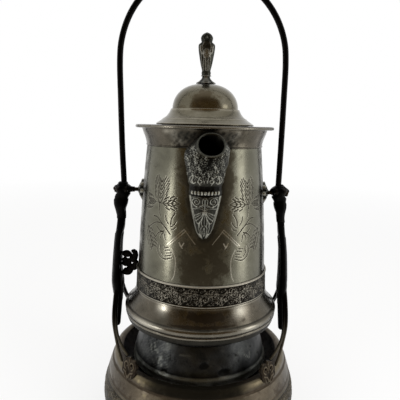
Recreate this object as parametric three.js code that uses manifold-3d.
// Tilting water pitcher with lid, hung between the two forked arms of its stand, silver plate on white metal.
// Millimetres, +Z up. The stand rests on z = 0, its axis is the Z axis, and the spout points to -Y.
import * as THREE from 'three';
import { mergeVertices } from 'three/addons/utils/BufferGeometryUtils.js';
import Module from 'manifold-3d';

const wasm = await Module();
wasm.setup();

// Clearances and facets
const seatGap = 0.3;          // between pieces that are soldered or stand on each other
const swingGap = 2;           // between the swinging foot of the pitcher and the rim of the bowl
const turnSteps = 32;         // facets of every turned piece, the same on mating surfaces
const bodySteps = 6;          // facets up the side of the pitcher
const domeSteps = 5;          // facets up the dome of the lid
const friezeSteps = 4;        // facets up the swelling side of the base

// Base
const baseRadius = 114;       // over the frieze, the widest part of the object
const baseHeight = 84;        // top of the rim
const baseWall = 1.6;
const rimRadius = 98.5;       // outer edge of the flat rim
const rimWidth = 7.2;
const friezeBottom = 12;
const friezeTop = 57;
const friezeWidest = 35;      // height of the widest line
const friezeShoulderDrop = 5.4;
const friezeFootDrop = 4;
const friezeWall = 1.2;
const footRingHeight = 6;
const footRingWidth = 7;
const panDepth = 12.3;        // from the rim down to the floor of the pan
const panWall = 1.2;
const panSlope = 14;          // horizontal run of the pan's sloping side

// Drip bowl
const bowlFootRadius = 77.5;
const bowlRimRadius = 66.8;
const bowlWall = 1.4;
const bowlFloorRise = 8;

// Trunnions
const pivotRise = 185.5;      // rim of the base to the trunnion axis
const screwRadius = 2.2;
const screwClearance = 0.4;
const knobRadius = 5.3;
const knobLength = 3.4;
const bossReach = 74.5;       // apex of each boss, from the axis
const bossRadius = 12;
const bossPetals = 8;
const bossBite = 4.5;         // how far the screw's point enters the boss

// Arms of the stand
const armTopX = 91.8;         // middle of the arm at the trunnion
const armWaistX = 97;         // middle of the arm above the fork
const armEndX = 100;          // middle of the pendant
const armTopRise = 9;         // trunnion axis to the top of the arm
const armForkRise = 72;       // rim of the base to the crotch of the fork
const pendantRise = 19;       // rim of the base to the end of the pendant
const armBackDepth = 4.5;     // middle line to the inner face beside the bracket
const legAngle = 40;          // degrees from the lateral axis to each foot
const legWidth = 8;
const legThickness = 4.6;
const footHeight = 17;
const footWidth = 16;
const footThickness = 3;
const footLean = 14;          // degrees, towards the middle of the stand
const rivetRadius = 1.6;
const rivetClearance = 0.3;
const rivetInset = 2.4;       // rivet's centre inside the middle of the leaf

// Bail
const bailRadius = 91.4;      // of the arch, at the middle of the rod
const bailRod = 3.2;
const bailSocketDepth = 5;
const bailInset = 1.8;        // the rod stands inside the middle of the arm
const bailTopRise = 233.9;    // trunnion axis to the middle of the rod at the top

// Pitcher, heights from its own lower edge
const pitcherDrop = 144.9;    // trunnion axis down to the lower edge
const footEdgeRadius = 85.5;
const footBeadRadius = 87;
const footBead = 1.2;
const footHeightOuter = 35.2; // top of the flared foot
const bodyFootRadius = 74.2;
const bodyMidRadius = 71.6;   // control value of the curved side
const bodyTopRadius = 63.6;
const bodyTop = 196.1;        // crease under the collar
const bodyWall = 1.2;
const bodyBottom = 23;
const bandHeight = 23.4;
const bandWall = 1.2;
const collarTop = 218.4;      // upper face of the lip
const collarRadius = 68.7;
const lipBeyondLid = 22.8;     // edge of the lip outside the edge of the lid
const lipThickness = 2.8;
const mouthRadius = 48.6;
const linerSpace = 5.2;       // between the body's wall and the liner
const linerWall = 1;
const linerFloor = 30;

// Spout, with its opening into the body
const spoutReach = 100.5;     // lower lip of the spout's mouth, from the axis
const spoutMouthWidth = 26;
const spoutTip = 111.4;       // lowest point of the applied shield
const spoutWidth = 42;
const spoutWall = 2.5;
const spoutLean = 3;          // degrees, to the right as it rises
const spoutTipX = 1.8;
const throatHalfWidth = 8;
const throatHalfHeight = 13;
const throatHeight = 163;     // middle of the opening in the wall
const throatWall = 1;
const strainerHole = 2.3;

// Handle
const handleReach = 107.5;    // middle of the grip, from the axis
const handleTopHeight = 189;
const handleFootHeight = 76;
const handleWidth = 12;
const handleDepth = 9.5;
const handleMountRadius = 11;

// Lid and finial
const lidRadius = 53.5;
const lidShoulder = 36.2;     // radius of the dome at its foot
const lidFlare = 17.4;        // height of the flare below the dome
const lidHeight = 44.5;       // lip to the top of the dome
const lidWall = 1.3;
const bezelDepth = 5;
const bezelClearance = 0.9;
const finialFootHeight = 9;
const finialFootRadius = 9.8;
const figureHeight = 44.2;
const figureWidth = 17.6;
const finialScrewRadius = 2;
const hingeOffset = 8.5;      // hinge axis outside the edge of the lid
const hingeRise = 4.2;
const knuckleRadius = 2.9;
const knuckleLength = 6;
const hingePinRadius = 1.3;
const hingePinClearance = 0.35;

// Scroll bracket on the left arm
const bracketRise = 47.8;     // lower edge of the pitcher to the bottom of the bracket
const bracketHeight = 24.6;
const bracketThickness = 4;
const bracketGap = 1.2;       // to the ornamental band of the pitcher

// Places worked out from the sizes above
const lipRadius = lidRadius + lipBeyondLid;
const hingeReach = lidRadius + hingeOffset;
const pivotZ = baseHeight + pivotRise;
const pitcherZ = pivotZ - pitcherDrop;
const panFloor = baseHeight - panDepth;
const bowlZ = panFloor + seatGap;
const lipZ = pitcherZ + collarTop;
const lidZ = lipZ + seatGap;
const domeZ = lidZ + lidHeight;
const footZ = domeZ + seatGap;
const figureZ = footZ + finialFootHeight;
const hingeZ = lipZ + hingeRise;
const bracketBottom = pitcherZ + bracketRise;
const bracketTop = bracketBottom + bracketHeight;
const footSwing = Math.hypot(footEdgeRadius, pitcherDrop);
const bowlRimZ = pivotZ - Math.sqrt(footSwing ** 2 - bowlRimRadius ** 2) - swingGap;

const colours = {
  pewter: 0x8d8778, cast: 0x565550, dark: 0x23211f, base: 0x7d7262, bowl: 0x4c4d4d, liner: 0x9a978e,
};

const model = new THREE.Group();

function add(name, geometry, colour, roughness = 0.45) {
  const material = new THREE.MeshStandardMaterial({ color: colour, roughness, metalness: 0.9 });
  const mesh = new THREE.Mesh(geometry, material);
  mesh.name = name;
  model.add(mesh);
  return mesh;
}

// A turned solid from a profile of [radius, height] pairs, listed up the outside.
// A hollow ring's profile closes on itself.
function turned(profile, closed = false) {
  const points = profile.map(([radius, height]) => new THREE.Vector2(radius, height));
  if (closed) {
    points.push(points[0].clone());
  }
  return new THREE.LatheGeometry(points, turnSteps).rotateX(Math.PI / 2);
}

function toSolid(geometry) {
  const bare = geometry.clone();
  bare.deleteAttribute('normal');
  bare.deleteAttribute('uv');
  const merged = mergeVertices(bare, 1e-4);
  const corners = [];
  const index = merged.index.array;
  for (let i = 0; i < index.length; i += 3) {
    const [a, b, c] = [index[i], index[i + 1], index[i + 2]];
    if (a !== b && b !== c && c !== a) {
      corners.push(a, b, c);
    }
  }
  return new wasm.Manifold(new wasm.Mesh({
    numProp: 3,
    vertProperties: new Float32Array(merged.attributes.position.array),
    triVerts: new Uint32Array(corners),
  }));
}

function toGeometry(solid) {
  const mesh = solid.getMesh();
  const geometry = new THREE.BufferGeometry();
  geometry.setAttribute('position', new THREE.BufferAttribute(new Float32Array(mesh.vertProperties), 3));
  geometry.setIndex(new THREE.BufferAttribute(new Uint32Array(mesh.triVerts), 1));
  geometry.computeVertexNormals();
  return geometry;
}

function cut(geometry, ...tools) {
  return toGeometry(tools.reduce((rest, tool) => rest.subtract(toSolid(tool)), toSolid(geometry)));
}

function join(first, ...others) {
  return toGeometry(others.reduce((sum, other) => sum.add(toSolid(other)), toSolid(first)));
}

function common(first, second) {
  return toGeometry(toSolid(first).intersect(toSolid(second)));
}

// The main body, without the slivers a cut leaves.
function largest(geometry) {
  const pieces = toSolid(geometry).decompose().sort((a, b) => b.volume() - a.volume());
  return toGeometry(pieces[0]);
}

// A solid skinned over rings of points, each ring counter-clockwise seen from the next one.
function lofted(rings) {
  const count = rings[0].length;
  const positions = rings.flat().flatMap((point) => point.toArray());
  const index = [];
  for (let k = 0; k < rings.length - 1; k += 1) {
    for (let i = 0; i < count; i += 1) {
      const a = k * count + i;
      const b = k * count + ((i + 1) % count);
      index.push(a, b, b + count, a, b + count, a + count);
    }
  }
  const last = (rings.length - 1) * count;
  for (let i = 1; i < count - 1; i += 1) {
    index.push(0, i + 1, i);
    index.push(last, last + i, last + i + 1);
  }
  const geometry = new THREE.BufferGeometry();
  geometry.setAttribute('position', new THREE.Float32BufferAttribute(positions, 3));
  geometry.setIndex(index);
  return geometry;
}

// An ellipse in the plane of X and a second direction of the YZ plane.
function crossRing(centre, halfWidth, toFront, sides) {
  return Array.from({ length: sides }, (_, i) => {
    const angle = (2 * Math.PI * i) / sides;
    return centre.clone()
      .add(new THREE.Vector3(halfWidth * Math.cos(angle), 0, 0))
      .addScaledVector(toFront, -Math.sin(angle));
  });
}

function rod(points, halfWidth, halfDepth, sides, steps) {
  const section = new THREE.Shape();
  for (let i = 0; i < sides; i += 1) {
    const angle = (2 * Math.PI * i) / sides;
    const [x, y] = [halfDepth * Math.cos(angle), halfWidth * Math.sin(angle)];
    if (i === 0) {
      section.moveTo(x, y);
    } else {
      section.lineTo(x, y);
    }
  }
  section.closePath();
  const path = new THREE.CatmullRomCurve3(points);
  return new THREE.ExtrudeGeometry(section, { extrudePath: path, steps, bevelEnabled: false });
}

function pin(radius, from, to, sides = 20) {
  const length = to - from;
  return new THREE.CylinderGeometry(radius, radius, length, sides)
    .rotateZ(-Math.PI / 2)
    .translate(from + length / 2, 0, 0);
}

function block(x0, x1, y0, y1, z0, z1) {
  return new THREE.BoxGeometry(x1 - x0, y1 - y0, z1 - z0)
    .translate((x0 + x1) / 2, (y0 + y1) / 2, (z0 + z1) / 2);
}

// A plate whose outline is given in Y and Z, with its thickness along X from x0 to x1.
function sidePlate(shape, x0, x1) {
  return new THREE.ExtrudeGeometry(shape, { depth: x1 - x0, bevelEnabled: false, curveSegments: 8 })
    .rotateX(Math.PI / 2)
    .rotateZ(Math.PI / 2)
    .translate(x0, 0, 0);
}

// A plate whose outline is given in X and Z, with its thickness along Y centred on the XZ plane.
function frontPlate(shape, thickness) {
  return new THREE.ExtrudeGeometry(shape, { depth: thickness, bevelEnabled: false, curveSegments: 6 })
    .rotateX(Math.PI / 2)
    .translate(0, thickness / 2, 0);
}

function smoothOutline(left, right, samples) {
  const down = new THREE.SplineCurve(left.map(([a, b]) => new THREE.Vector2(a, b)));
  const up = new THREE.SplineCurve(right.map(([a, b]) => new THREE.Vector2(a, b)));
  return new THREE.Shape([...down.getSpacedPoints(samples), ...up.getSpacedPoints(samples)]);
}

function friezeRadius(height) {
  const above = height > friezeWidest;
  const reach = above ? friezeTop - friezeWidest : friezeWidest - friezeBottom;
  const drop = above ? friezeShoulderDrop : friezeFootDrop;
  return baseRadius - drop * ((height - friezeWidest) / reach) ** 2;
}

function friezeHeights(count) {
  return Array.from({ length: count + 1 }, (_, i) => friezeBottom + ((friezeTop - friezeBottom) * i) / count);
}

function footPlace(side) {
  const angle = THREE.MathUtils.degToRad(legAngle);
  const radius = rimRadius - 1.6;
  return new THREE.Vector3(radius * Math.cos(angle), -radius * Math.sin(angle) * side, baseHeight + seatGap);
}

function rivetPlaces() {
  const across = footPlace(1).setZ(0);
  const inward = across.clone().setLength(across.length() - rivetInset);
  const corners = [[1, 1], [1, -1], [-1, -1], [-1, 1]];
  return corners.map(([x, y]) => new THREE.Vector3(inward.x * x, inward.y * y, 0));
}

function rivetBore(length) {
  const radius = rivetRadius + rivetClearance;
  return new THREE.CylinderGeometry(radius, radius, length, 12).rotateX(Math.PI / 2);
}

function buildBase() {
  const under = friezeWall + seatGap;
  const footRadius = friezeRadius(friezeBottom);
  const shellBottom = footRingHeight + seatGap;
  const outside = [
    [footRadius - 1.2, shellBottom],
    [footRadius, friezeBottom - seatGap],
    ...friezeHeights(friezeSteps).map((height) => [friezeRadius(height) - under, height]),
    [friezeRadius(friezeTop) - under, friezeTop + seatGap],
    [friezeRadius(friezeTop), friezeTop + seatGap],
    [rimRadius + 8, baseHeight - 20],
    [rimRadius + 5, baseHeight - 12.5],
    [rimRadius + 2, baseHeight - 8.6],
    [rimRadius + 1.6, baseHeight - 4],
    [rimRadius - 1, baseHeight],
    [rimRadius - rimWidth, baseHeight],
  ];
  const inside = [
    [rimRadius - rimWidth, baseHeight - baseWall],
    [rimRadius - 2, baseHeight - baseWall],
    [rimRadius - 0.6, baseHeight - 8],
    [rimRadius + 3, baseHeight - 13.5],
    [friezeRadius(friezeTop) - under - baseWall - 1, friezeTop],
    [friezeRadius(friezeWidest) - under - baseWall, friezeWidest],
    [footRadius - under - baseWall, friezeBottom],
    [footRadius - 1.2 - baseWall, shellBottom],
  ];
  const bores = rivetPlaces().map((place) => rivetBore(8).translate(place.x, place.y, baseHeight));
  add('base_shell', cut(turned([...outside, ...inside], true), ...bores), colours.base);

  const skin = friezeHeights(friezeSteps).map((height) => [friezeRadius(height), height]);
  const back = skin.map(([radius, height]) => [radius - friezeWall, height]).reverse();
  add('base_frieze_band', turned([...skin, ...back], true), colours.base, 0.6);

  const ringOuter = footRadius + 1.2;
  const ringInner = ringOuter - footRingWidth;
  add('base_foot_ring', turned([
    [ringOuter - 0.8, 0],
    [ringOuter, 1.4],
    [ringOuter - 0.2, footRingHeight - 1.4],
    [ringOuter - 1.4, footRingHeight],
    [ringInner, footRingHeight],
    [ringInner, 0],
  ], true), colours.base);

  const panEdge = rimRadius - rimWidth - seatGap;
  const panTop = baseHeight - 0.5;
  add('well_pan', turned([
    [0, panFloor - panWall],
    [panEdge - panSlope + 0.5, panFloor - panWall],
    [panEdge - panSlope * 0.5, panFloor + panDepth * 0.22],
    [panEdge, panTop - panWall],
    [panEdge, panTop],
    [panEdge - panSlope * 0.28, panFloor + panDepth * 0.48],
    [panEdge - panSlope * 0.62, panFloor + panDepth * 0.1],
    [panEdge - panSlope, panFloor],
    [0, panFloor],
  ]), colours.base);
}

function buildBowl() {
  const floor = bowlZ + bowlFloorRise;
  const rim = bowlRimRadius;
  const foot = bowlFootRadius;
  add('drip_bowl', turned([
    [0, floor - bowlWall],
    [rim - 8, floor - bowlWall],
    [rim + 0.2, floor - 1.8 * bowlWall],
    [foot - 5, bowlZ + 1.6],
    [foot - 4, bowlZ],
    [foot - 0.6, bowlZ],
    [foot, bowlZ + 1],
    [foot - 0.3, bowlZ + 2.4],
    [foot - 3.6, bowlZ + 4.6],
    [rim + 3.6, bowlZ + 9.5],
    [rim + 0.8, bowlZ + 20],
    [rim, bowlRimZ],
    [rim - bowlWall, bowlRimZ],
    [rim + 0.6 - bowlWall, bowlZ + 20],
    [rim - 1.4, floor + 2.4],
    [rim - 6, floor],
    [0, floor],
  ]), colours.bowl, 0.6);
}

// Side of the pitcher's body, a single sweep from the foot to the crease under the collar.
function bodyRadius(height) {
  const start = footHeightOuter;
  const t = THREE.MathUtils.clamp((height - start) / (bodyTop - start), 0, 1);
  return (1 - t) ** 2 * bodyFootRadius + 2 * t * (1 - t) * bodyMidRadius + t * t * bodyTopRadius;
}

function bodyProfile(from, to, count, offset) {
  return Array.from({ length: count + 1 }, (_, i) => {
    const height = from + ((to - from) * i) / count;
    return [bodyRadius(height) + offset, pitcherZ + height];
  });
}

function collarProfile(offset) {
  return [
    [bodyTopRadius + offset, pitcherZ + bodyTop + seatGap],
    [bodyTopRadius + offset + 0.9, pitcherZ + bodyTop + 4],
    [collarRadius + offset - 0.6, lipZ - lipThickness - 5],
    [collarRadius + offset, lipZ - lipThickness - 0.6],
  ];
}

// Everything inside the outer skin of body and collar, grown by a gap, to cut what is applied to it.
function pitcherCore(gap) {
  return turned([
    [0, pitcherZ + bodyBottom],
    ...bodyProfile(bodyBottom, bodyTop, bodySteps, gap),
    ...collarProfile(gap),
    [lipRadius, lipZ - lipThickness - gap],
    [lipRadius, lipZ],
    [0, lipZ],
  ]);
}

function throatBore(halfWidth, halfHeight, from, to) {
  return new THREE.CylinderGeometry(1, 1, to - from, 20)
    .scale(halfWidth, 1, halfHeight)
    .translate(0, -(from + to) / 2, pitcherZ + throatHeight);
}

function buildBody() {
  const skin = bodyProfile(bodyBottom, bodyTop, bodySteps, 0);
  const back = bodyProfile(bodyBottom, bodyTop, bodySteps, -bodyWall).reverse();
  const window = throatBore(
    throatHalfWidth + throatWall + seatGap,
    throatHalfHeight + throatWall + seatGap,
    linerRadius(throatHeight),
    bodyRadius(throatHeight) + 12,
  );
  add('pitcher_body', cut(turned([...skin, ...back], true), window), colours.pewter);

  add('collar_and_lip', turned([
    ...collarProfile(0),
    [collarRadius + 1.4, lipZ - lipThickness],
    [lipRadius - 1, lipZ - lipThickness],
    [lipRadius, lipZ - lipThickness / 2],
    [lipRadius - 1, lipZ],
    [mouthRadius, lipZ],
    [mouthRadius, lipZ - bodyWall],
    [collarRadius - 1.8, lipZ - bodyWall],
    ...collarProfile(-bodyWall).reverse(),
  ], true), colours.pewter);

  const plateRadius = bodyFootRadius - bodyWall - seatGap;
  const plateZ = pitcherZ + bodyBottom;
  add('bottom_plate', turned([
    [0, plateZ + 1.2],
    [plateRadius - 6, plateZ + 1.2],
    [plateRadius - 1.4, plateZ],
    [plateRadius, plateZ],
    [plateRadius, plateZ + 1.6],
    [plateRadius - 5, plateZ + 2.4],
    [0, plateZ + 2.4],
  ]), colours.pewter);
}

function linerRadius(height) {
  return bodyRadius(height) - bodyWall - linerSpace;
}

function buildLiner() {
  const neck = mouthRadius + 1.2;
  const top = lipZ - bodyWall - seatGap;
  const shoulder = bodyTop - 4;
  const floor = pitcherZ + linerFloor;
  const rows = [linerFloor + 14, linerFloor + 84, shoulder];
  const liner = turned([
    [0, floor - linerWall],
    [linerRadius(linerFloor) - 9, floor - linerWall],
    [linerRadius(linerFloor) - 2, floor + 4],
    ...rows.map((height) => [linerRadius(height), pitcherZ + height]),
    [neck + linerWall, pitcherZ + shoulder + 11],
    [neck + linerWall, top - linerWall],
    [neck + 6, top - linerWall],
    [neck + 6, top],
    [neck, top],
    [neck, pitcherZ + shoulder + 10.6],
    ...rows.reverse().map((height) => [linerRadius(height) - linerWall, pitcherZ + height]),
    [linerRadius(linerFloor) - 3, floor + 4.6],
    [linerRadius(linerFloor) - 9.4, floor],
    [0, floor],
  ]);
  const window = throatBore(
    throatHalfWidth + throatWall + seatGap,
    throatHalfHeight + throatWall + seatGap,
    linerRadius(throatHeight) - 12,
    linerRadius(throatHeight) + 4,
  );
  add('liner', cut(liner, window), colours.liner, 0.35);

  const innerEnd = linerRadius(throatHeight) - linerWall - 2.5;
  const outerEnd = Math.sqrt(bodyRadius(throatHeight + throatHalfHeight) ** 2 - throatHalfWidth ** 2) - 0.8;
  const tube = throatBore(throatHalfWidth + throatWall, throatHalfHeight + throatWall, innerEnd, outerEnd);
  const bore = throatBore(throatHalfWidth, throatHalfHeight, innerEnd + 1.2, outerEnd + 1);
  const holes = [];
  for (const row of [-1, 0, 1]) {
    for (const column of [-0.5, 0.5]) {
      const hole = new THREE.CylinderGeometry(strainerHole, strainerHole, 6, 10)
        .translate(
          column * (throatHalfWidth * 1.05),
          -innerEnd,
          pitcherZ + throatHeight + row * (throatHalfHeight * 0.56),
        );
      holes.push(hole);
    }
  }
  add('spout_strainer', cut(tube, bore, ...holes), colours.liner, 0.35);
}

function buildBandAndFoot() {
  const low = footHeightOuter + seatGap;
  const high = low + bandHeight;
  const wire = 1.1;
  const wireFoot = low + bandHeight * 0.84;
  const skin = [
    [bodyRadius(low) + seatGap + bandWall, pitcherZ + low],
    [bodyRadius(wireFoot) + seatGap + bandWall, pitcherZ + wireFoot],
    [bodyRadius(high) + seatGap + bandWall + wire, pitcherZ + high - 2.2],
    [bodyRadius(high) + seatGap + bandWall + wire, pitcherZ + high - 1],
    [bodyRadius(high) + seatGap + bandWall, pitcherZ + high],
  ];
  const back = bodyProfile(low, high, 2, seatGap).reverse();
  add('body_band', turned([...skin, ...back], true), colours.pewter, 0.6);

  const edge = footEdgeRadius;
  const bead = footBeadRadius;
  const top = pitcherZ + footHeightOuter;
  const outer = bodyFootRadius + seatGap + bandWall;
  add('foot_moulding', turned([
    [edge, pitcherZ],
    [bead - 0.6, pitcherZ + 8],
    [bead + footBead, pitcherZ + 10.8],
    [bead + footBead * 0.3, pitcherZ + 12.6],
    [bead + footBead * 0.8, pitcherZ + 14.4],
    [bead - 2.2, pitcherZ + 18.4],
    [outer + 5.6, pitcherZ + 22.6],
    [outer + 1.8, pitcherZ + 28.6],
    [outer, top],
    [bodyFootRadius + seatGap, top],
    [bodyFootRadius + seatGap, pitcherZ + 27],
    [outer + 3.2, pitcherZ + 22],
    [bead - 4.4, pitcherZ + 17],
    [bead - 2.6, pitcherZ + 8],
    [edge - 1.8, pitcherZ],
  ], true), colours.pewter);
}

// Rings of the spout run up from the tip of its shield to the mouth, and tip forward as they rise.
// Each is [back behind the wall, back height, front, front height, half width], heights above the tip.
// The shield's front is given from the wall, and the mouth's from the reach of the spout.
function spoutRings(shrink) {
  const half = spoutWidth / 2;
  const wall = (height) => bodyRadius(spoutTip + height);
  const rings = [
    [10.5, 0, wall(0) + 2.1, 0, 1.4],
    [11.9, 9, wall(9) + 6.3, 9, half - 13.6],
    [13.2, 20, wall(20) + 10.4, 20, half - 10],
    [14.3, 32, wall(32) + 14.1, 32, half - 6.8],
    [13.5, 41, wall(41) + 16.6, 41, half - 4.8],
    [12.8, 50, wall(50) + 18.5, 50, half - 4.6],
    [10.5, 65, spoutReach - 11, 61, half - 3],
    [5.8, 83, spoutReach - 5, 71, half - 0.8],
    [1.6, 94, spoutReach - 1, 78, half],
    [-6.4, 100, spoutReach + 0.4, 82.5, half - 3],
    [-18.4, 102.4, spoutReach, 85, spoutMouthWidth / 2],
  ];
  return rings.map(([depth, backRise, frontY, frontRise, width]) => {
    const backY = wall(backRise) - depth;
    const back = new THREE.Vector3(0, -backY, pitcherZ + spoutTip + backRise);
    const front = new THREE.Vector3(0, -frontY, pitcherZ + spoutTip + frontRise);
    const centre = back.clone().add(front).multiplyScalar(0.5);
    const arm = front.sub(centre);
    arm.setLength(arm.length() - shrink);
    return crossRing(centre, width - shrink, arm, 22);
  });
}

function leanSpout(geometry) {
  const tipZ = pitcherZ + spoutTip;
  return geometry.translate(0, 0, -tipZ)
    .rotateY(THREE.MathUtils.degToRad(spoutLean))
    .translate(spoutTipX, 0, tipZ);
}

function buildSpout() {
  const channelRing = (y, z, tilt, halfWidth, halfHeight) => {
    const toFront = new THREE.Vector3(0, -Math.cos(tilt), -Math.sin(tilt)).multiplyScalar(halfHeight);
    return crossRing(new THREE.Vector3(0, -y, pitcherZ + z), halfWidth, toFront, 16);
  };
  const mouth = spoutMouthWidth / 2 - spoutWall;
  const wall = bodyRadius(throatHeight);
  const channel = lofted([
    channelRing(wall - 9, throatHeight, Math.PI / 2, throatHalfWidth, throatHalfHeight - 1),
    channelRing(wall + 1, throatHeight + 4, 1.25, throatHalfWidth + 1, throatHalfHeight - 1.4),
    channelRing(spoutReach - 23, spoutTip + 68, 1, mouth, 11.6),
    channelRing(spoutReach - 14, spoutTip + 82, 0.86, mouth + 0.4, 11.2),
    channelRing(spoutReach - 9.2, spoutTip + 93.6, 0.8, mouth, 10.6),
    channelRing(spoutReach - 4, spoutTip + 103, 0.8, mouth, 10.6),
  ]);
  const hollow = lofted(spoutRings(spoutWall).slice(2));
  const shell = leanSpout(cut(lofted(spoutRings(0)), channel, hollow));
  add('spout', largest(cut(shell, pitcherCore(seatGap))), colours.cast, 0.6);
}

// A petalled cone round the trunnion, turned about X and cut to the body it is soldered on.
function buildBosses() {
  const root = bodyTopRadius - 4;
  const cone = [
    [root, bossRadius],
    [bossReach - 6.4, bossRadius],
    [bossReach - 4.6, bossRadius - 2.6],
    [bossReach - 2, bossRadius - 6.4],
    [bossReach, bossRadius - 7.6],
  ];
  const sides = bossPetals * 3;
  const rings = cone.map(([x, radius]) => Array.from({ length: sides }, (_, i) => {
    const angle = (2 * Math.PI * i) / sides;
    const petal = radius * (1 - 0.07 * (0.5 - 0.5 * Math.cos(bossPetals * angle)));
    return new THREE.Vector3(x, petal * Math.cos(angle), pivotZ + petal * Math.sin(angle));
  }));
  const bore = pin(screwRadius + screwClearance, bossReach - bossBite - 1, bossReach + 2)
    .translate(0, 0, pivotZ);
  const boss = cut(lofted(rings), pitcherCore(seatGap), bore);
  add('right_trunnion_boss', boss, colours.pewter);
  add('left_trunnion_boss', boss.clone().rotateZ(Math.PI), colours.pewter);
}

// C-scroll handle behind the body, between two soldered mounts.
function buildHandle() {
  const topZ = pitcherZ + handleTopHeight;
  const footZLevel = pitcherZ + handleFootHeight;
  const topY = bodyRadius(handleTopHeight);
  const footY = bodyRadius(handleFootHeight);
  const mountDepth = 3.4;
  const span = topZ - footZLevel;
  const path = [
    [topY + mountDepth - 1, topZ - 0.4],
    [topY + 16, topZ + 5.5],
    [handleReach - 9, topZ + 1],
    [handleReach - 1.2, topZ - span * 0.16],
    [handleReach, topZ - span * 0.36],
    [handleReach - 4.5, topZ - span * 0.58],
    [handleReach - 14, topZ - span * 0.78],
    [footY + 13, footZLevel + span * 0.06],
    [footY + mountDepth - 1, footZLevel],
  ].map(([y, z]) => new THREE.Vector3(0, y, z));
  const faces = [[topY, topZ], [footY, footZLevel]]
    .map(([y, z]) => block(-20, 20, 0, y + mountDepth + seatGap, z - 25, z + 25));
  add('handle', cut(rod(path, handleDepth / 2, handleWidth / 2, 12, 30), ...faces), colours.cast);

  const mounts = [['handle_upper_mount', topZ], ['handle_lower_mount', footZLevel]];
  for (const [name, z] of mounts) {
    const wall = name === 'handle_upper_mount' ? topY : footY;
    const face = wall + mountDepth;
    const disc = new THREE.CylinderGeometry(handleMountRadius - 3, handleMountRadius, face - wall + 8, 24)
      .translate(0, (face + wall - 8) / 2, z);
    add(name, cut(disc, pitcherCore(seatGap)), colours.cast);
  }
}

function lidProfile(offset) {
  const dome = Array.from({ length: domeSteps }, (_, i) => {
    const angle = (Math.PI / 2) * (i / domeSteps);
    const rise = lidHeight - lidFlare;
    const height = lidZ + lidFlare + (rise - offset) * Math.sin(angle);
    return [(lidShoulder - offset) * Math.cos(angle) ** 0.9, height];
  });
  return [
    [lidRadius - 1.6 - offset, lidZ + 3.2 - offset],
    [lidRadius - 9 - offset, lidZ + 7.6 - offset],
    [lidShoulder + 4.4 - offset, lidZ + 11 - offset],
    [lidShoulder + 1.4 - offset, lidZ + lidFlare - 0.6 - offset],
    ...dome,
  ];
}

function buildLid() {
  const bezel = mouthRadius - bezelClearance;
  const outside = lidProfile(0);
  const inside = lidProfile(lidWall).reverse();
  const shell = turned([
    [bezel, lidZ],
    [lidRadius - 0.8, lidZ],
    [lidRadius, lidZ + 0.9],
    [lidRadius - 0.2, lidZ + 2.2],
    ...outside,
    [0, domeZ],
    [0, domeZ - lidWall],
    ...inside.filter(([radius]) => radius < bezel - lidWall - 0.4),
    [bezel - lidWall, lidZ + 4.6],
    [bezel - lidWall, lidZ - bezelDepth],
    [bezel, lidZ - bezelDepth],
  ], true);
  const screwHole = new THREE.CylinderGeometry(
    finialScrewRadius + screwClearance,
    finialScrewRadius + screwClearance,
    12,
    16,
  ).rotateX(Math.PI / 2).translate(0, 0, domeZ);
  add('lid', cut(shell, screwHole), colours.pewter);
}

// Small round foot with four leaves that spread over the crown of the dome.
function buildFinial() {
  const sides = 24;
  const foot = [[0, 1], [0.12, 1.02], [0.3, 0.74], [0.62, 0.5], [0.86, 0.46], [0.93, 0.56], [1, 0.5]];
  const rings = foot.map(([share, width]) => Array.from({ length: sides }, (_, i) => {
    const angle = (2 * Math.PI * i) / sides;
    const leaf = 1 + 0.13 * Math.cos(4 * angle) * (1 - share);
    const radius = finialFootRadius * width * leaf;
    const height = footZ + finialFootHeight * share;
    return new THREE.Vector3(radius * Math.cos(angle), radius * Math.sin(angle), height);
  }));
  const bore = new THREE.CylinderGeometry(
    finialScrewRadius + screwClearance,
    finialScrewRadius + screwClearance,
    finialFootHeight * 1.4,
    16,
  ).rotateX(Math.PI / 2).translate(0, 0, footZ);
  add('finial_foot', cut(lofted(rings), bore), colours.cast);

  const screwTop = footZ + finialFootHeight * 0.7 - seatGap - 0.2;
  const headTop = domeZ - lidWall - seatGap - 0.4;
  const shank = new THREE.CylinderGeometry(finialScrewRadius, finialScrewRadius, screwTop - headTop + 1, 12)
    .rotateX(Math.PI / 2)
    .translate(0, 0, (screwTop + headTop - 1) / 2);
  const head = new THREE.CylinderGeometry(4, 4, 2.6, 6).rotateX(Math.PI / 2).translate(0, 0, headTop - 1.3);
  add('finial_screw', join(shank, head), colours.cast);

  // Robed and hooded standing figure with an oval shield: [height share, half width share, half depth].
  const body = [
    [0, 0.5, 4.4], [0.04, 0.54, 4.6], [0.09, 0.46, 4], [0.18, 0.52, 4.2], [0.3, 0.68, 4.6],
    [0.42, 0.78, 4.8], [0.56, 0.9, 5], [0.66, 1, 5.2], [0.72, 0.98, 5.1], [0.77, 0.72, 4.8],
    [0.8, 0.58, 4.8], [0.87, 0.69, 5.5], [0.93, 0.56, 4.9], [0.975, 0.3, 3], [1, 0.06, 0.6],
  ];
  const figure = lofted(body.map(([share, width, depth]) => crossRing(
    new THREE.Vector3(0, 0, figureZ + seatGap + figureHeight * share),
    (figureWidth / 2) * width,
    new THREE.Vector3(0, -depth, 0),
    12,
  )));
  const shield = new THREE.SphereGeometry(1, 12, 6)
    .scale(4.2, 1.8, 5.2)
    .translate(0, -4.6, figureZ + figureHeight * 0.5);
  add('finial_figure', join(figure, shield), colours.cast);
}

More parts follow.
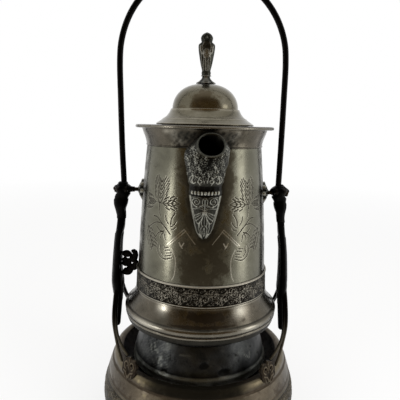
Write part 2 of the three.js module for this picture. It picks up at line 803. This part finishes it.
function buildHinge() {
  const knuckle = (from, to) => pin(knuckleRadius, from, to).translate(0, hingeReach, hingeZ);
  const bore = pin(hingePinRadius + hingePinClearance, -30, 30).translate(0, hingeReach, hingeZ);
  const half = knuckleLength / 2;
  const side = half + 0.4;
  const end = side + knuckleLength;
  const leafTop = lipZ + seatGap + 1.8;
  const plate = block(-end, end, hingeReach + 1, lipRadius - 3, lipZ + seatGap, leafTop);
  const notch = block(-side, side, hingeReach - 5, hingeReach + 4.2, lipZ, hingeZ + 6);
  const web = block(-end, end, hingeReach - 1, hingeReach + 3, lipZ + seatGap, hingeZ);
  const fixed = cut(join(knuckle(-end, -side), knuckle(side, end), plate, web), notch, bore);
  add('hinge_fixed_leaf', fixed, colours.pewter);

  const top = lidProfile(seatGap * -1.6);
  const strap = new THREE.Shape();
  const [rim, slope, neck] = top;
  strap.moveTo(hingeReach, hingeZ + knuckleRadius - 0.2);
  strap.lineTo(rim[0], rim[1] + 2.2);
  strap.lineTo(slope[0], slope[1] + 1.8);
  strap.lineTo(neck[0] + 0.6, neck[1] + 1);
  strap.lineTo(neck[0] + 0.2, neck[1] - 0.2);
  strap.lineTo(slope[0], slope[1]);
  strap.lineTo(rim[0] + 0.4, rim[1] + 0.1);
  strap.lineTo(lidRadius + 0.6, hingeZ - 0.6);
  strap.lineTo(hingeReach, hingeZ - knuckleRadius + 0.9);
  strap.closePath();
  const moving = cut(join(knuckle(-half, half), sidePlate(strap, -half, half)), bore);
  add('hinge_moving_leaf', moving, colours.pewter);

  const head = pin(hingePinRadius + 0.7, end + seatGap, end + seatGap + 1.2);
  const tail = pin(hingePinRadius + 0.7, -end - seatGap - 1.2, -end - seatGap);
  const shank = pin(hingePinRadius, -end - 1, end + 1, 12);
  add('hinge_pin', join(shank, head, tail).translate(0, hingeReach, hingeZ), colours.cast);
}

// The arm's middle line runs outwards from the trunnion to the fork, and on down to the pendant.
function armMiddle(z) {
  const crotch = baseHeight + armForkRise;
  const end = baseHeight + pendantRise;
  if (z > crotch) {
    const share = THREE.MathUtils.smoothstep(pivotZ - z, 0, pivotZ - crotch);
    return armTopX + (armWaistX - armTopX) * share;
  }
  return armWaistX + ((armEndX - armWaistX) * (crotch - z)) / (crotch - end);
}

// Cast side arm: the outline seen from the side, crossed with the outline seen from the front.
function armUpright() {
  const top = pivotZ + armTopRise;
  const eye = pivotZ;
  const crotch = baseHeight + armForkRise;
  const end = baseHeight + pendantRise;
  const flank = [
    [5, top], [7.6, eye + 5.5], [9, eye], [6.6, eye - 8], [6, eye - 11], [8.2, eye - 18], [6.4, eye - 26],
    [4.2, eye - 32], [5.2, eye - 37], [7.4, eye - 48], [9.6, eye - 72], [11.6, crotch + 20], [13, crotch + 4],
    [10, crotch - 8], [5.6, crotch - 18], [4.6, crotch - 30], [4.6, end + 4],
  ];
  const side = smoothOutline(
    flank.map(([y, z]) => [-y, z]),
    [...flank].reverse().map(([y, z]) => [y, y === 4.6 && z === end + 4 ? end : z]),
    32,
  );
  const edge = [
    [top, 5.2, 6.6], [eye + 4, 5.6, 6.4], [eye, 5.8, 5.8], [eye - 8, 6.2, 4.8], [eye - 18, 6.3, 2.6],
    [eye - 31, 3.2, 3.2], [eye - 44, 4.4, 3.6], [eye - 58, 5, 4], [eye - 94, 5, 5],
    [crotch + 2, 5.6, 5.2], [end + 8, 5, 4.6], [end, 4.4, 4.4],
  ];
  const front = smoothOutline(
    edge.map(([z, , inner]) => [armMiddle(z) - inner, z]),
    [...edge].reverse().map(([z, outer]) => [armMiddle(z) + outer, z]),
    20,
  );
  return common(sidePlate(side, armTopX - 20, armEndX + 20), frontPlate(front, 60));
}

function legPath(side) {
  const start = baseHeight + armForkRise;
  const end = footPlace(1).setZ(0).setLength(rimRadius + 1.4);
  const endZ = baseHeight + footHeight - 1.5;
  const points = [
    [armWaistX + 0.6, -4, start + 4],
    [armWaistX + 1.2, -13, start - 16],
    [armWaistX - 1.6, -27, start - 36],
    [(armWaistX + end.x) / 2 - 0.5, (end.y - 27) / 2 - 1, (start - 36 + endZ) / 2 - 1.5],
    [end.x, end.y, endZ],
  ];
  return points.map(([x, y, z]) => new THREE.Vector3(x, y * side, z));
}

function leaned(piece) {
  return piece.rotateX(-THREE.MathUtils.degToRad(footLean)).translate(0, -1.4, 1);
}

// Openwork leaf that stands on the rim under each leg, on a small pad that takes the rivet.
function leafFoot() {
  const half = footWidth / 2;
  const leaf = new THREE.Shape();
  leaf.moveTo(-half * 0.5, 0);
  leaf.quadraticCurveTo(-half * 1.05, footHeight * 0.16, -half * 0.86, footHeight * 0.44);
  leaf.quadraticCurveTo(-half * 1.1, footHeight * 0.72, -half * 0.5, footHeight * 0.84);
  leaf.quadraticCurveTo(-half * 0.3, footHeight, 0, footHeight);
  leaf.quadraticCurveTo(half * 0.3, footHeight, half * 0.5, footHeight * 0.84);
  leaf.quadraticCurveTo(half * 1.1, footHeight * 0.72, half * 0.86, footHeight * 0.44);
  leaf.quadraticCurveTo(half * 1.05, footHeight * 0.16, half * 0.5, 0);
  leaf.closePath();
  for (const side of [-1, 1]) {
    const hole = new THREE.Path();
    const [x, y] = [side * half * 0.4, footHeight * 0.5];
    hole.absellipse(x, y, half * 0.19, footHeight * 0.2, 0, Math.PI * 2, false, 0);
    leaf.holes.push(hole);
  }
  const settings = { depth: footThickness, bevelEnabled: false, curveSegments: 2 };
  const plate = leaned(new THREE.ExtrudeGeometry(leaf, settings).rotateX(Math.PI / 2));
  const pad = new THREE.CylinderGeometry(footWidth * 0.3, footWidth * 0.34, 2.2, 16)
    .rotateX(Math.PI / 2)
    .translate(0, 1.4, 1.1);
  const below = block(-footWidth, footWidth, -footWidth, footWidth, -8, 0);
  const bore = rivetBore(14).translate(0, rivetInset, 1.1);
  const headRoom = new THREE.CylinderGeometry(3, 3, 12, 14)
    .rotateX(Math.PI / 2)
    .translate(0, rivetInset, 8.2);
  return cut(join(plate, pad), below, bore, headRoom);
}

function buildArms() {
  const eye = pin(screwRadius + screwClearance, armTopX - 30, armTopX + 30).translate(0, 0, pivotZ);
  const spur = new THREE.CylinderGeometry(screwRadius + 1.4, screwRadius + 3.4, 9, 20)
    .rotateZ(Math.PI / 2)
    .translate(armTopX - 9.3, 0, pivotZ);
  const socketZ = pivotZ + armTopRise;
  const socketX = armTopX - bailInset;
  const socket = new THREE.CylinderGeometry(bailRod + seatGap, bailRod + seatGap, bailSocketDepth * 2, 16)
    .rotateX(Math.PI / 2)
    .translate(socketX, 0, socketZ);
  const legs = [-1, 1].map((side) => rod(legPath(side), legWidth / 2, legThickness / 2, 8, 14));
  const outward = -THREE.MathUtils.degToRad(legAngle);
  const standing = (piece, side) => {
    const place = footPlace(side);
    return piece.rotateZ(side * outward + Math.PI / 2).translate(place.x, place.y, place.z);
  };
  const footRoom = () => block(-footWidth, footWidth, -footThickness - seatGap, 12, -9, footHeight + seatGap);
  const feet = [1, -1].map((side) => standing(leaned(footRoom()), side));
  const arm = largest(cut(join(armUpright(), spur, ...legs), eye, socket, ...feet));
  add('right_arm', arm, colours.dark, 0.55);
  add('left_arm', arm.clone().rotateZ(Math.PI), colours.dark, 0.55);

  const names = [
    ['right_front', 1, 0], ['right_rear', -1, 0],
    ['left_rear', 1, Math.PI], ['left_front', -1, Math.PI],
  ];
  for (const [name, side, turn] of names) {
    add(`${name}_foot`, standing(leafFoot(), side).rotateZ(turn), colours.dark, 0.55);
    const rivet = standing(turnedRivet().translate(0, rivetInset, 0), side).rotateZ(turn);
    add(`${name}_rivet`, rivet, colours.dark, 0.55);
  }
}

// Round-headed rivet through the pad of a foot and the rim of the base.
function turnedRivet() {
  const radius = rivetRadius;
  const headZ = 2.2 + seatGap;
  const tail = -seatGap - baseWall - 1;
  const points = [
    [0, tail], [radius, tail], [radius, headZ], [2.6, headZ],
    [2.1, headZ + 1], [1.2, headZ + 1.6], [0, headZ + 1.8],
  ].map(([r, z]) => new THREE.Vector2(r, z));
  return new THREE.LatheGeometry(points, 12).rotateX(Math.PI / 2);
}

function buildScrews() {
  const tip = bossReach - bossBite;
  const knobStart = armTopX + 6.4 + seatGap;
  const shank = pin(screwRadius, tip, knobStart + 1, 16);
  const knob = pin(knobRadius, knobStart, knobStart + knobLength, 20);
  const button = pin(knobRadius * 0.55, knobStart + knobLength - 0.5, knobStart + knobLength + 1, 16);
  const screw = join(shank, knob, button).translate(0, 0, pivotZ);
  add('right_trunnion_screw', screw, colours.dark);
  add('left_trunnion_screw', screw.clone().rotateZ(Math.PI), colours.dark);
}

function buildBail() {
  const footX = armTopX - bailInset;
  const footLevel = pivotZ + armTopRise - bailSocketDepth + seatGap;
  const archZ = pivotZ + bailTopRise - bailRadius;
  const rise = archZ - footLevel;
  const half = [
    [footX, footLevel],
    [footX, footLevel + 6],
    [footX + (bailRadius - footX) * 0.35, footLevel + rise * 0.3],
    [footX + (bailRadius - footX) * 0.9, footLevel + rise * 0.7],
  ];
  const archSteps = 12;
  const arch = Array.from({ length: archSteps + 1 }, (_, i) => {
    const angle = (Math.PI * i) / archSteps;
    return [bailRadius * Math.cos(angle), archZ + bailRadius * Math.sin(angle)];
  });
  const points = [...half, ...arch, ...half.map(([x, z]) => [-x, z]).reverse()]
    .map(([x, z]) => new THREE.Vector3(x, 0, z));
  add('bail', rod(points, bailRod, bailRod, 8, 42), colours.dark);
}

// Pierced foliate scroll on the inner side of the left arm, in the plane of the two arms.
function buildBracket() {
  const inner = bodyRadius(bracketTop - pitcherZ) + bandWall + seatGap + 1.1 + bracketGap;
  const outer = armMiddle(bracketTop) - armBackDepth - seatGap;
  const height = bracketTop - bracketBottom;
  const width = outer - inner;
  const at = (across, up) => [-(inner + width * across), bracketBottom + height * up];
  const outline = new THREE.Shape();
  outline.moveTo(...at(1, 0));
  outline.quadraticCurveTo(...at(0.62, -0.04), ...at(0.55, 0.16));
  outline.quadraticCurveTo(...at(0.5, 0.3), ...at(0.3, 0.2));
  outline.quadraticCurveTo(...at(0.1, 0.1), ...at(0, 0.3));
  outline.quadraticCurveTo(...at(-0.04, 0.5), ...at(0.16, 0.56));
  outline.quadraticCurveTo(...at(0, 0.66), ...at(0.02, 0.86));
  outline.quadraticCurveTo(...at(0.12, 1.04), ...at(0.28, 0.96));
  outline.quadraticCurveTo(...at(0.42, 0.78), ...at(0.56, 0.86));
  outline.quadraticCurveTo(...at(0.76, 0.98), ...at(1, 0.84));
  outline.closePath();
  const holes = [[0.8, 0.44, 0.11, 0.14], [0.44, 0.58, 0.09, 0.08]];
  for (const [across, up, halfAcross, halfUp] of holes) {
    const hole = new THREE.Path();
    const [x, z] = at(across, up);
    hole.absellipse(x, z, width * halfAcross, height * halfUp, 0, Math.PI * 2, true, 0);
    outline.holes.push(hole);
  }
  add('side_scroll_bracket', frontPlate(outline, bracketThickness), colours.dark, 0.55);
}

buildBase();
buildBowl();
buildBody();
buildLiner();
buildBandAndFoot();
buildSpout();
buildBosses();
buildHandle();
buildLid();
buildFinial();
buildHinge();
buildArms();
buildScrews();
buildBail();
buildBracket();

export default model;
